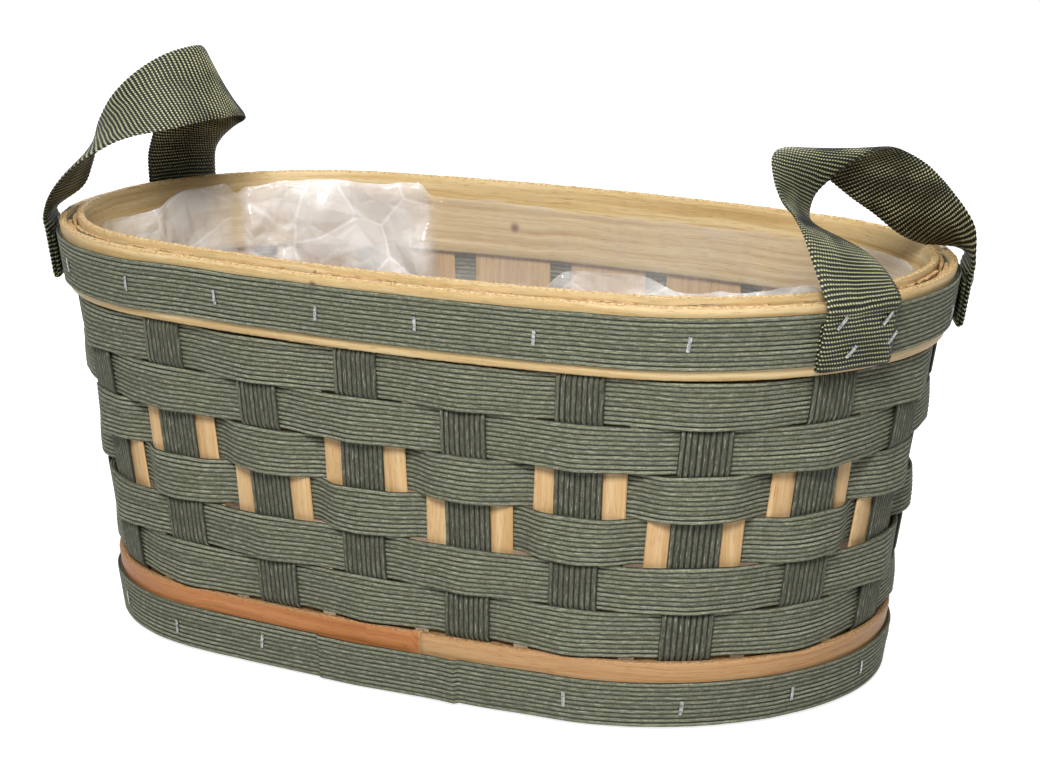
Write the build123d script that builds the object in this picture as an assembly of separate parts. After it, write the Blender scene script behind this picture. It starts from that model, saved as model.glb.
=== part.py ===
from build123d import *
import math
import os

# Oval flared basket: upright wooden slats with corded tape woven round them, hoops at rim and foot,
# a board for a floor, a plastic liner and a webbing loop at each end.
# Millimetres, +Z up, +X along the basket, -Y the front. The origin is on the floor at the middle.

# Overall size
rim_height = 150.0  # top of the inner rim hoop
rim_half_length = 173.0  # outer face of the outer rim hoop, at its top
rim_half_width = 97.5
rim_end_radius = 90.5
foot_half_length = 149.5  # outer face of the foot tape, at the floor
foot_half_width = 86.5
foot_end_radius = 84.0

# Stock that the basket is made of
slat_width = 33.0
slat_thickness = 1.5
tape_thickness = 1.6  # corded paper tape: strips, weavers and both bands
strip_width = 17.5
hoop_thickness = 3.0
board_thickness = 3.0
film_thickness = 0.5
webbing_width = 30.0
webbing_thickness = 1.4
fit_gap = 0.2  # between two pieces that lie on each other

# Rim and foot
hoop_step = 2.0  # the inner rim hoop stands this far above the outer one
rim_outer_hoop_height = 25.2
rim_inner_hoop_height = 30.0
rim_tape_drop = 3.5  # wood that shows above the rim tape
rim_tape_height = 18.0
foot_outer_hoop_height = 24.0
foot_inner_hoop_height = 12.0
foot_tape_lift = 1.0
foot_tape_height = 16.0
hoop_joint_width = 0.6
hoop_joint_share = 0.026  # where the ends of the foot's outer hoop meet, as a share of the way round
slat_top_drop = 0.8  # slats and strips end below the outer rim hoop's top
slat_foot_lift = 0.5

# Weave
slat_count = 20
row_count = 6
deep_rows = (2, 3)  # counted from the top: these pass behind the slats too
row_gap = 1.0
pass_gap = 0.8  # a weaver stays flat this far past the strip's edge
edge_gap = 0.4  # and this far past a slat's edge
strip_ramp = 1.4  # height over which a strip steps in or out

# Liner
liner_drop = 10.0  # its edge below the inner rim hoop's top
liner_gap = 0.5

# Handles: each tab is the folded end of one webbing loop
tab_drop = 24.5  # its lower end below the inner rim hoop's top
tab_fold_height = 16.0
knuckle_rise = 11.0  # height of the loop's hinge line above the rim
knuckle_radius = 10.0
knuckle_gap = 0.3
knuckle_shoulder = 5.5  # the loop is cut at this height above the rim, outside its knuckle
knuckle_relief = 2.0  # and the fixed tab this much lower, so that the loop can tilt inwards
tab_shares = {"right": (0.201, 0.299), "left": (0.799, 0.706)}
loop_lean = {"right": 33.0, "left": 40.0}
loop_rise = {"right": 37.0, "left": 43.5}
# Stations along a loop, front to back: lean, place along the chord and rise as shares of the three
# sizes above, then the direction of the webbing's width as outward, along and upward shares.
loop_shares = {
    "right": (
        (0.00, -1.00, 0.04, 0.48, 0.88, 0.00),
        (0.16, -0.94, 0.20, 0.36, 0.92, -0.12),
        (0.42, -0.86, 0.36, 0.22, 0.93, -0.30),
        (0.68, -0.78, 0.50, 0.12, 0.89, -0.44),
        (0.88, -0.70, 0.64, 0.12, 0.86, -0.48),
        (0.97, -0.60, 0.82, 0.45, 0.80, -0.38),
        (0.99, -0.47, 0.95, 0.86, 0.42, 0.05),
        (1.00, -0.26, 1.00, 0.89, 0.05, 0.44),
        (0.98, -0.02, 0.95, 0.83, 0.00, 0.56),
        (0.88, 0.24, 0.87, 0.76, 0.00, 0.65),
        (0.73, 0.50, 0.73, 0.73, 0.00, 0.68),
        (0.54, 0.72, 0.55, 0.76, -0.10, 0.63),
        (0.33, 0.86, 0.37, 0.79, -0.33, 0.50),
        (0.15, 0.94, 0.20, 0.73, -0.60, 0.30),
        (0.04, 0.99, 0.09, 0.58, -0.81, 0.08),
        (0.00, 1.00, 0.02, 0.48, -0.88, 0.00),
    ),
    "left": (
        (0.00, -1.00, 0.02, 0.48, 0.88, 0.00),
        (0.10, -0.95, 0.13, 0.44, 0.90, -0.10),
        (0.19, -0.89, 0.27, 0.45, 0.89, -0.12),
        (0.28, -0.82, 0.43, 0.55, 0.83, -0.06),
        (0.40, -0.74, 0.60, 0.70, 0.70, 0.11),
        (0.54, -0.64, 0.74, 0.78, 0.53, 0.32),
        (0.68, -0.51, 0.84, 0.77, 0.34, 0.53),
        (0.81, -0.36, 0.92, 0.69, 0.18, 0.70),
        (0.92, -0.18, 0.98, 0.57, 0.07, 0.82),
        (0.99, 0.02, 1.00, 0.48, 0.02, 0.88),
        (0.98, 0.20, 0.99, 0.49, 0.00, 0.87),
        (0.90, 0.34, 0.95, 0.58, -0.08, 0.80),
        (0.77, 0.46, 0.87, 0.67, -0.25, 0.69),
        (0.60, 0.56, 0.75, 0.70, -0.46, 0.54),
        (0.42, 0.64, 0.62, 0.67, -0.64, 0.36),
        (0.26, 0.71, 0.48, 0.59, -0.78, 0.20),
        (0.11, 0.78, 0.33, 0.50, -0.86, 0.08),
        (0.00, 0.84, 0.18, 0.45, -0.89, 0.02),
        (-0.05, 0.88, 0.02, 0.44, -0.90, 0.00),
    ),
}

# Staples: crown and legs of flat steel wire
staple_crown = 5.8
staple_wire = 0.6
staple_leg = 3.0
tab_staple_leg = 6.0  # through both layers of the tab and the tape into the hoop
rim_staple_share = -0.013  # the staples stand this far round from each slat's middle
rim_staple_drop = 15.0
foot_staple_share = -0.005
foot_staple_height = 9.0
# Four staples on each tab: place across, drop below the rim and slant in degrees
tab_staples = ((-0.33, 8.5, 35.0), (0.30, 8.0, 35.0), (0.36, 15.5, 40.0), (-0.20, 19.0, 40.0))

cut_overrun = 5.0
cut_depth = 40.0

# Places worked out from the sizes above, as distances out from the slats' outer face
strip_low = fit_gap
strip_high = strip_low + tape_thickness + fit_gap
hoop_inner_face = strip_high
hoop_outer_face = hoop_inner_face + hoop_thickness
band_face = hoop_outer_face + fit_gap + tape_thickness
inner_hoop_face = -slat_thickness - fit_gap
weaver_deep = inner_hoop_face - tape_thickness
liner_face = inner_hoop_face - hoop_thickness - liner_gap
tab_face = band_face + fit_gap
tab_outer_face = tab_face + 2 * webbing_thickness + fit_gap

outer_hoop_top = rim_height - hoop_step
outer_hoop_bottom = outer_hoop_top - rim_outer_hoop_height
row_height = (outer_hoop_bottom - foot_outer_hoop_height - (row_count + 1) * row_gap) / row_count
board_top = foot_inner_hoop_height + board_thickness
hinge_height = rim_height + knuckle_rise

# The slats' outer face: half length, half width and end radius at the floor and at the outer hoop's top
foot_outline = tuple(size - band_face for size in (foot_half_length, foot_half_width, foot_end_radius))
rim_outline = tuple(size - hoop_outer_face for size in (rim_half_length, rim_half_width, rim_end_radius))


def outline(height, offset=0.0):
    # Half length, half width, end radius, side radius and the angle at which the two arcs meet
    share = height / outer_hoop_top
    sizes = [low + (high - low) * share + offset for low, high in zip(foot_outline, rim_outline)]
    half_length, half_width, end_radius = sizes
    reach = half_length - end_radius
    side_radius = (reach**2 + half_width**2 - end_radius**2) / (2 * (half_width - end_radius))
    return half_length, half_width, end_radius, side_radius, math.atan2(reach, side_radius - half_width)


def girth(height):
    # Length of the slats' outer face round the basket
    half_length, half_width, end_radius, side_radius, join = outline(height)
    return 4 * (side_radius * join + end_radius * (math.pi / 2 - join))


def around(share, height, offset=0.0):
    # Point and outward direction at a share of the way round, from the front middle towards +X
    half_length, half_width, end_radius, side_radius, join = outline(height)
    quarter = girth(height) / 4
    turns = share % 1 * 4
    quadrant = int(turns)
    run = (turns - quadrant) * quarter
    if quadrant % 2:
        run = quarter - run
    if run < side_radius * join:
        angle, radius, centre = run / side_radius, side_radius, (0, side_radius - half_width)
    else:
        angle = join + (run - side_radius * join) / end_radius
        radius, centre = end_radius, (half_length - end_radius, 0)
    side = -1 if quadrant in (2, 3) else 1
    front = -1 if quadrant in (1, 2) else 1
    outward = Vector(side * math.sin(angle), -front * math.cos(angle), 0)
    middle = Vector(side * centre[0], front * centre[1], height)
    return middle + outward * (radius + offset), outward


def oval_face(height, offset):
    # One level oval of four arcs, with the same centres as the slats' outer face
    half_length, half_width, end_radius, side_radius, join = outline(height, offset)
    bend_x = half_length - end_radius + end_radius * math.sin(join)
    bend_y = end_radius * math.cos(join)
    corners = [(bend_x, -bend_y), (bend_x, bend_y), (-bend_x, bend_y), (-bend_x, -bend_y)]
    middles = [(half_length, 0), (0, half_width), (-half_length, 0), (0, -half_width)]
    arcs = []
    for index, middle in enumerate(middles):
        start, end = corners[index], corners[(index + 1) % len(corners)]
        arcs.append(ThreePointArc((*start, height), (*middle, height), (*end, height)))
    return make_face(Wire(arcs))


def shell(inner_profile, outer_profile):
    # Ring between two lists of (height, distance out), both from the same bottom to the same top
    outer = loft([oval_face(height, offset) for height, offset in outer_profile], ruled=True)
    inner = loft([oval_face(height, offset) for height, offset in inner_profile], ruled=True)
    return outer - inner


def band(low, high, inner, outer):
    return shell(((low, inner), (high, inner)), ((low, outer), (high, outer)))


def wall_plane(share):
    # Plane on the slats' outer face: x across, y up the slope, z outward
    foot, outward = around(share, 0)
    head = around(share, outer_hoop_top)[0]
    slope = (head - foot).normalized()
    facing = (outward - slope * outward.dot(slope)).normalized()
    return Plane(origin=(foot + head) / 2, x_dir=slope.cross(facing), z_dir=facing)


def share_at(point, height):
    # Share of the way round at which the slats' outer face passes a point, at a height
    half_length, half_width, end_radius, side_radius, join = outline(height)
    quarter = girth(height) / 4
    bend = math.atan2(abs(point.X) - half_length + end_radius, abs(point.Y))
    if bend > join:
        run = side_radius * join + end_radius * (bend - join)
    else:
        run = side_radius * math.atan2(abs(point.X), abs(point.Y) + side_radius - half_width)
    turns = run / quarter
    if point.Y < 0:
        return turns / 4 if point.X >= 0 else 1 - turns / 4
    return (2 - turns) / 4 if point.X >= 0 else (2 + turns) / 4


def stake(slat, height):
    # Where an upright's middle line passes a height, as a share of the way round
    foot = around(slat / slat_count, 0)[0]
    head = around(slat / slat_count, outer_hoop_top)[0]
    return share_at(foot + (head - foot) * (height / outer_hoop_top), height)


def half_share(slat, height, width, spare):
    # Half an upright's width and a spare length beyond it, as a share of the way round
    end_radius = outline(height)[2]
    across = wall_plane(slat / slat_count).x_dir
    chord = width / 2 / math.hypot(across.X, across.Y)
    return (end_radius * math.asin(chord / (end_radius - slat_thickness)) + spare) / girth(height)


def upright_slab(share, width):
    # Block that cuts one upright piece of constant width out of a ring
    return wall_plane(share) * Box(width, 2 * rim_height, cut_depth)


def row_edges(row):
    # Lower and upper edge of a weaver row, counted from the top
    top = outer_hoop_bottom - row_gap - row * (row_height + row_gap)
    return top - row_height, top


def weaver_in_front(row, slat):
    return (row + slat) % 2 == 1


def strip_steps_out(row, slat):
    # The strip goes over a weaver that passes between it and the slat
    return not weaver_in_front(row, slat) and row not in deep_rows


def strip_profiles(slat):
    # Inner and outer faces of a strip as (height, distance out), from the foot up
    low, high = strip_low, strip_high
    bottom, top = slat_foot_lift, outer_hoop_top - slat_top_drop
    levels = [low] + [high if strip_steps_out(row, slat) else low for row in range(row_count)] + [low]
    inner, outer = [(bottom, low)], [(bottom, low + tape_thickness)]
    for place in range(len(levels) - 1, 0, -1):
        below, above = levels[place], levels[place - 1]
        if below == above:
            continue
        lower_edge = outer_hoop_bottom - (place - 1) * (row_height + row_gap) - row_gap
        upper_edge = lower_edge + row_gap
        if below > above:
            inner += [(lower_edge, below), (upper_edge + strip_ramp, above)]
            outer += [(lower_edge - strip_ramp, below + tape_thickness), (upper_edge, above + tape_thickness)]
        else:
            inner += [(lower_edge - strip_ramp, below), (upper_edge, above)]
            outer += [(lower_edge, below + tape_thickness), (upper_edge + strip_ramp, above + tape_thickness)]
    return inner + [(top, low)], outer + [(top, low + tape_thickness)]


def arc_run(start_share, end_share, height, offset, count=2):
    # Arcs that follow the basket's curve at one distance out
    arcs = []
    for index in range(count):
        shares = [start_share + (end_share - start_share) * (index + part) / count for part in (0, 0.5, 1)]
        arcs.append(ThreePointArc(*(around(share, height, offset)[0] for share in shares)))
    return arcs


def weaver_face(row, height, thickness):
    # Closed outline of a weaver: over one strip, under the next
    deep = row in deep_rows
    runs = []
    for slat in range(slat_count):
        middle = stake(slat, height)
        over_strip = half_share(slat, height, strip_width, pass_gap)
        over_slat = half_share(slat, height, slat_width, edge_gap)
        if weaver_in_front(row, slat):
            half, level = over_strip, strip_high
        elif deep:
            half, level = over_slat, weaver_deep
        else:
            half, level = over_strip, strip_low
        stretch = arc_run(middle - half, middle + half, height, level + thickness)
        if weaver_in_front(row, slat):
            # Beside the strip the weaver still lies on the slat
            rest = over_slat if deep else (over_slat + over_strip) / 2
            rest_level = strip_low if deep else (strip_low + strip_high) / 2
            before = around(middle - rest, height, rest_level + thickness)[0]
            after = around(middle + rest, height, rest_level + thickness)[0]
            stretch = [Line(before, stretch[0] @ 0)] + stretch + [Line(stretch[-1] @ 1, after)]
        runs.append(stretch)
    edges = []
    for slat, stretch in enumerate(runs):
        following = runs[(slat + 1) % slat_count]
        edges += stretch + [Line(stretch[-1] @ 1, following[0] @ 0)]
    return make_face(Wire(edges))


def make_weaver(row):
    low, high = row_edges(row)
    outer = loft([weaver_face(row, height, tape_thickness) for height in (low, high)], ruled=True)
    inner = loft([weaver_face(row, height, 0) for height in (low, high)], ruled=True)
    return outer - inner


def make_slats():
    ring = band(slat_foot_lift, outer_hoop_top - slat_top_drop, -slat_thickness, 0)
    return [ring & upright_slab(slat / slat_count, slat_width) for slat in range(slat_count)]


def make_strips():
    rings = [shell(*strip_profiles(slat)) for slat in (0, 1)]
    return [rings[slat % 2] & upright_slab(slat / slat_count, strip_width) for slat in range(slat_count)]


def make_hoops():
    joint = wall_plane(hoop_joint_share) * Box(hoop_joint_width, 2 * rim_height, cut_depth)
    inner_low = inner_hoop_face - hoop_thickness
    return {
        "rim_outer_hoop": band(outer_hoop_bottom, outer_hoop_top, hoop_inner_face, hoop_outer_face),
        "rim_inner_hoop": band(rim_height - rim_inner_hoop_height, rim_height, inner_low, inner_hoop_face),
        "base_outer_hoop": band(0, foot_outer_hoop_height, hoop_inner_face, hoop_outer_face) - joint,
        "base_inner_hoop": band(0, foot_inner_hoop_height, inner_low, inner_hoop_face),
    }


def make_bands():
    rim_top = outer_hoop_top - rim_tape_drop
    foot_top = foot_tape_lift + foot_tape_height
    inner = band_face - tape_thickness
    return {
        "rim_tape": band(rim_top - rim_tape_height, rim_top, inner, band_face),
        "base_tape": band(foot_tape_lift, foot_top, inner, band_face),
    }


def make_board():
    levels = (foot_inner_hoop_height, board_top)
    return loft([oval_face(height, inner_hoop_face) for height in levels], ruled=True)


def make_liner():
    bottom, top = board_top + fit_gap, rim_height - liner_drop
    inside = liner_face - film_thickness
    outer = loft([oval_face(height, liner_face) for height in (bottom, top)], ruled=True)
    inner = loft([oval_face(height, inside) for height in (bottom + film_thickness, top)], ruled=True)
    return outer - inner


def tab_middle(share):
    # Middle of the webbing's outer layer at the rim's height
    return around(share, rim_height, tab_outer_face - webbing_thickness / 2)[0]


def hinge_cylinder(side, radius):
    # Cylinder about a loop's hinge line, which runs along Y over its front tab
    length = 2 * (rim_half_width + cut_overrun)
    place = Plane(origin=(tab_middle(tab_shares[side][0]).X, 0, hinge_height), z_dir=(0, 1, 0))
    return place * Cylinder(radius, length)


def make_tabs(side):
    # Folded ends of one loop, stapled over the rim tape
    bottom, top = rim_height - tab_drop, rim_height + knuckle_shoulder - knuckle_relief
    overrun_top = top + cut_overrun
    layer = tab_face + webbing_thickness
    blank = band(bottom, top, tab_face, tab_outer_face)
    slit = band(bottom + webbing_thickness, overrun_top, layer, layer + fit_gap)
    spare = band(bottom + tab_fold_height, overrun_top, tab_face - cut_overrun, layer + fit_gap / 2)
    folded = blank - slit - spare - hinge_cylinder(side, knuckle_radius + knuckle_gap / 2)
    return [folded & upright_slab(share, webbing_width) for share in tab_shares[side]]


def strap_solid(planes):
    # Webbing through a row of planes: x across, y through the thickness
    half_width, half_thickness = webbing_width / 2, webbing_thickness / 2
    places = ((-1, -1), (1, -1), (1, 1), (-1, 1))
    rings = []
    for plane in planes:
        rings.append([plane.from_local_coords((x * half_width, y * half_thickness, 0)) for x, y in places])
    faces = [make_face(Polyline(*ring, close=True)) for ring in (rings[0], rings[-1])]
    for low, high in zip(rings, rings[1:]):
        for index in range(len(places)):
            after = (index + 1) % len(places)
            edges = [Edge.make_line(ring[index], ring[after]) for ring in (low, high)]
            faces.append(Face.make_surface_from_curves(*edges))
    return Solid(Shell(faces))


def make_loop(side):
    sign = 1 if side == "right" else -1
    front = tab_middle(tab_shares[side][0])
    middles, widths = [], []
    for lean, along, rise, out, across, up in loop_shares[side]:
        place_x = front.X - sign * lean * loop_lean[side]
        middles.append(Vector(place_x, -along * front.Y, rim_height + rise * loop_rise[side]))
        widths.append(Vector(sign * out, across, up))
    start = Vector(front.X, front.Y, rim_height)
    ends = [start] + middles + [Vector(middles[-1].X, middles[-1].Y, rim_height)]
    planes = []
    for index, width in enumerate(widths):
        path = (ends[index + 2] - ends[index]).normalized()
        planes.append(Plane(origin=middles[index], x_dir=width - path * width.dot(path), z_dir=path))
    reach = 2 * rim_half_length
    above = Pos(0, 0, rim_height + knuckle_shoulder + reach / 2) * Box(reach, reach, reach)
    knuckle = hinge_cylinder(side, knuckle_radius - knuckle_gap / 2)
    return strap_solid(planes) & (above + knuckle)


def staple_shape(plane, leg):
    # Crown on the plane's surface, two legs going in
    crown = Pos(0, 0, staple_wire / 2) * Box(staple_wire, staple_crown, staple_wire)
    shape = crown
    for end in (-1, 1):
        place = Pos(0, end * (staple_crown - staple_wire) / 2, -leg / 2)
        shape += place * Box(staple_wire, staple_wire, leg)
    return plane * shape


def face_plane(share, height, offset, across=0.0, slant=0.0):
    # Plane on a band's outer face, at a height and a distance along the band
    tilt = wall_plane(share)
    centre = around(share + across / girth(height), height, offset)[0]
    return Plane(origin=centre, x_dir=tilt.x_dir, z_dir=tilt.z_dir) * Rot(0, 0, -slant)


def make_staples():
    band_staples, handle_staples = [], []
    for slat in range(slat_count):
        share = slat / slat_count + rim_staple_share
        foot_share = slat / slat_count + foot_staple_share
        near_tab = min(abs(share % 1 - tab) for tabs in tab_shares.values() for tab in tabs)
        if near_tab * girth(rim_height) > webbing_width / 2 + staple_wire:
            plane = face_plane(share, rim_height - rim_staple_drop, band_face)
            band_staples.append(staple_shape(plane, staple_leg))
        foot_plane = face_plane(foot_share, foot_staple_height, band_face)
        band_staples.append(staple_shape(foot_plane, staple_leg))
    for shares in tab_shares.values():
        for share in shares:
            for across, drop, slant in tab_staples:
                plane = face_plane(share, rim_height - drop, tab_outer_face, across * webbing_width, slant)
                handle_staples.append(staple_shape(plane, tab_staple_leg))
    return {"band_staples": band_staples, "handle_staples": handle_staples}


def solids_of(shape):
    shapes = shape if isinstance(shape, list) else [shape]
    return [solid for one in shapes for solid in one.solids()]


def make_parts():
    parts = {}
    for slat, (wood, strip) in enumerate(zip(make_slats(), make_strips())):
        parts[f"slat_{slat + 1:02d}"] = wood
        parts[f"strip_{slat + 1:02d}"] = strip
    for row in range(row_count):
        parts[f"weaver_row_{row + 1}"] = make_weaver(row)
    parts.update(make_hoops())
    parts.update(make_bands())
    parts["base_board"] = make_board()
    parts["liner"] = make_liner()
    for side in tab_shares:
        parts[f"{side}_handle_loop"] = make_loop(side)
        parts[f"{side}_handle_ends"] = make_tabs(side)
    parts.update(make_staples())
    return parts


os.makedirs("parts", exist_ok=True)
for name, shape in make_parts().items():
    solids = solids_of(shape)
    export_step(solids[0] if len(solids) == 1 else Compound(children=solids), f"parts/{name}.step")
    print(name, len(solids), round(sum(solid.volume for solid in solids)))
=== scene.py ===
# Oval woven trug: corded paper tape round wooden slats, clear film liner, webbing handles
import math
import random

import bpy
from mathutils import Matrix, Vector, noise


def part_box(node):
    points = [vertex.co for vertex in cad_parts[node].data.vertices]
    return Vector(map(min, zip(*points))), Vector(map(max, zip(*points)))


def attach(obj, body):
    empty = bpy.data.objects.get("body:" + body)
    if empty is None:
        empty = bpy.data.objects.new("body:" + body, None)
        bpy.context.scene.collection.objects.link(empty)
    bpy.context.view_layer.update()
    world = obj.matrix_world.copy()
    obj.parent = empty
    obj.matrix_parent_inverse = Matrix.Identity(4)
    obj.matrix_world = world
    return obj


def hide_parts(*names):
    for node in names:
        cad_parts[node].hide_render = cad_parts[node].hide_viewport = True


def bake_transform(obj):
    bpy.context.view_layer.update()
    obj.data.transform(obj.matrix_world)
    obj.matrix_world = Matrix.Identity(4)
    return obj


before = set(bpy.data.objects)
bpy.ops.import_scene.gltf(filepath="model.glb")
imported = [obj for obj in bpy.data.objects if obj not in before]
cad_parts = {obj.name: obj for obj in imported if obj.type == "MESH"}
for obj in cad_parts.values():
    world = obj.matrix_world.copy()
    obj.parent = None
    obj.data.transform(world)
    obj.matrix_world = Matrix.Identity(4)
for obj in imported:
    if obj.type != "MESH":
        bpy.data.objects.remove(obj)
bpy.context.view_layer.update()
bpy.ops.object.select_all(action="DESELECT")
mm = 0.001
basketBody = "basket"
random.seed(41)

basket = {
    "hoopTop": 148 * mm,  # top of the outer rim hoop, where the rim oval is measured
    "rimTop": 150 * mm,  # top of the inner rim hoop
    "footOval": (142.7 * mm, 79.7 * mm, 77.2 * mm),  # slats' outer face: half length, half width, end radius
    "rimOval": (168.0 * mm, 92.5 * mm, 85.5 * mm),
    "stakes": 20,
    "rows": 6,
    "deepRows": (2, 3),  # these pass behind the slats
}


# helpers for the oval wall
def ovalAt(height):
    # half length, half width, end radius, side radius, angle where side and end meet, length of a quarter
    share = height / basket["hoopTop"]
    length, width, end = [low + (high - low) * share
                          for low, high in zip(basket["footOval"], basket["rimOval"])]
    side = ((length - end) ** 2 + width**2 - end**2) / (2 * (width - end))
    join = math.atan2(length - end, side - width)
    return length, width, end, side, join, side * join + end * (math.pi / 2 - join)


def girthAt(height):
    return 4 * ovalAt(height)[5]


def onWall(share, height, out):
    # share runs from the front middle to the right end and on round, from 0 to 1
    # out is measured from the slats' outer face
    length, width, end, side, join, quarter = ovalAt(height)
    turns = share % 1 * 4
    quadrant = int(turns)
    run = (turns - quadrant) * quarter
    if quadrant % 2:
        run = quarter - run
    if run < side * join:
        angle, radius, centreX, centreY = run / side, side, 0, side - width
    else:
        angle, radius, centreX, centreY = join + (run - side * join) / end, end, length - end, 0
    x = centreX + (radius + out) * math.sin(angle)
    y = centreY - (radius + out) * math.cos(angle)
    return Vector((-x if quadrant in (2, 3) else x, -y if quadrant in (1, 2) else y, height))


def stakeShare(stake, height):
    # a stake is straight from foot to rim, so its share drifts a little with height
    foot = onWall(stake / basket["stakes"], 0, 0)
    head = onWall(stake / basket["stakes"], basket["hoopTop"], 0)
    point = foot.lerp(head, height / basket["hoopTop"])
    length, width, end, side, join, quarter = ovalAt(height)
    bend = math.atan2(abs(point.x) - length + end, abs(point.y))
    if bend > join:
        run = side * join + end * (bend - join)
    else:
        run = side * math.atan2(abs(point.x), abs(point.y) + side - width)
    turns = run / quarter
    if point.y < 0:
        return turns / 4 if point.x >= 0 else 1 - turns / 4
    return (2 - turns) / 4 if point.x >= 0 else (2 + turns) / 4


def smooth(low, high, value):
    # 0 up to low, 1 from high on, and eased between them
    part = min(1, max(0, (value - low) / (high - low)))
    return part * part * (3 - 2 * part)


def between(share, start, end):
    # 1 from start to end, each of them the two shares that it fades over
    return smooth(*start, share) * (1 - smooth(*end, share))


def ringNoise(share, waves, depth):
    # soft noise that closes on itself round the basket
    angle = share * 2 * math.pi
    return noise.noise(Vector((math.cos(angle) * waves, math.sin(angle) * waves, depth)))


def wobble(share, seed, waves):
    return ringNoise(share, waves, seed * 7.3)  # the step keeps two seeds from looking alike


# helpers for sheets that are rolled into closed tapes and boards
def flatSheet(name, stepsAlong, stepsAcross):
    bpy.ops.object.select_all(action="DESELECT")
    bpy.ops.mesh.primitive_grid_add(x_subdivisions=stepsAlong, y_subdivisions=stepsAcross, size=1,
                                    location=(0, 0, 0))
    sheet = bpy.context.object
    sheet.name = name
    sheet.data.name = name
    return sheet


def layOut(sheet, place, capped=True):
    # place(along, across), both from 0 to 1, gives the point and the pattern coordinates, in metres
    spots = [place(vertex.co.x + 0.5, vertex.co.y + 0.5) for vertex in sheet.data.vertices]
    for vertex, (point, _) in zip(sheet.data.vertices, spots):
        vertex.co = point
    pattern = sheet.data.uv_layers.active
    for loop in sheet.data.loops:
        pattern.data[loop.index].uv = spots[loop.vertex_index][1]
    bpy.ops.object.select_all(action="DESELECT")
    bpy.context.view_layer.objects.active = sheet
    sheet.select_set(True)
    bpy.ops.object.mode_set(mode="EDIT")
    bpy.ops.mesh.select_all(action="SELECT")
    bpy.ops.mesh.remove_doubles(threshold=0.004 * mm)
    if capped:  # a strip of board or tape, whose two ends are closed
        bpy.ops.mesh.select_all(action="DESELECT")
        bpy.ops.mesh.select_non_manifold(extend=False)
        bpy.ops.mesh.fill_holes(sides=0)
    bpy.ops.mesh.select_all(action="SELECT")
    bpy.ops.mesh.normals_make_consistent(inside=False)
    bpy.ops.object.mode_set(mode="OBJECT")
    bpy.ops.object.shade_smooth_by_angle(angle=math.radians(50))
    sheet.select_set(False)
    return sheet


def joinPieces(name, pieces):
    bpy.ops.object.select_all(action="DESELECT")
    for piece in pieces:
        piece.select_set(True)
    bpy.context.view_layer.objects.active = pieces[0]
    bpy.ops.object.join()
    pieces[0].name = name
    pieces[0].data.name = name
    pieces[0].select_set(False)
    return pieces[0]


def dress(piece, material, slot, *nodes, body=basketBody):
    piece.data.materials.clear()
    piece.data.materials.append(material)
    if body:
        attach(piece, body)
    if nodes:
        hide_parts(*nodes)
    return piece


# materials; a pattern's scale is one over the size in metres of what it draws
def linear(hexColour):
    # sRGB hex to linear light
    parts = [int(hexColour[place:place + 2], 16) / 255 for place in (1, 3, 5)]
    return [part / 12.92 if part <= 0.04045 else ((part + 0.055) / 1.055) ** 2.4 for part in parts] + [1]


def newMaterial(name):
    material = bpy.data.materials.new(name)
    material.use_nodes = True
    material.node_tree.nodes.clear()
    return material, material.node_tree


def addNode(tree, kind, inputs={}, **settings):
    # an input takes a value, a socket, or a node that stands for its first output
    node = tree.nodes.new("ShaderNode" + kind)
    for name, value in settings.items():
        setattr(node, name, value)
    for name, value in inputs.items():
        if isinstance(value, bpy.types.Node):
            value = value.outputs[0]
        if isinstance(value, bpy.types.NodeSocket):
            tree.links.new(value, node.inputs[name])
        else:
            node.inputs[name].default_value = value
    return node


def rampOf(tree, source, stops):
    node = addNode(tree, "ValToRGB", {"Fac": source})
    while len(node.color_ramp.elements) < len(stops):
        node.color_ramp.elements.new(0.5)
    for element, (place, colour) in zip(node.color_ramp.elements, stops):
        element.position = place
        element.color = linear(colour)
    return node.outputs["Color"]


def blendColours(tree, factor, first, second, how="MIX"):
    inputs = {0: factor, 6: first, 7: second}
    return addNode(tree, "Mix", inputs, data_type="RGBA", blend_type=how).outputs[2]


def finishOf(tree, colour, height=None, distance=0.1 * mm, strength=1.0, **inputs):
    # colour and bump into one Principled shader
    inputs = {name.replace("_", " "): value for name, value in inputs.items()}
    inputs["Base Color"] = colour
    if height:
        bump = {"Height": height, "Distance": distance, "Strength": strength}
        inputs["Normal"] = addNode(tree, "Bump", bump)
    addNode(tree, "OutputMaterial", {"Surface": addNode(tree, "BsdfPrincipled", inputs)})


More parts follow.
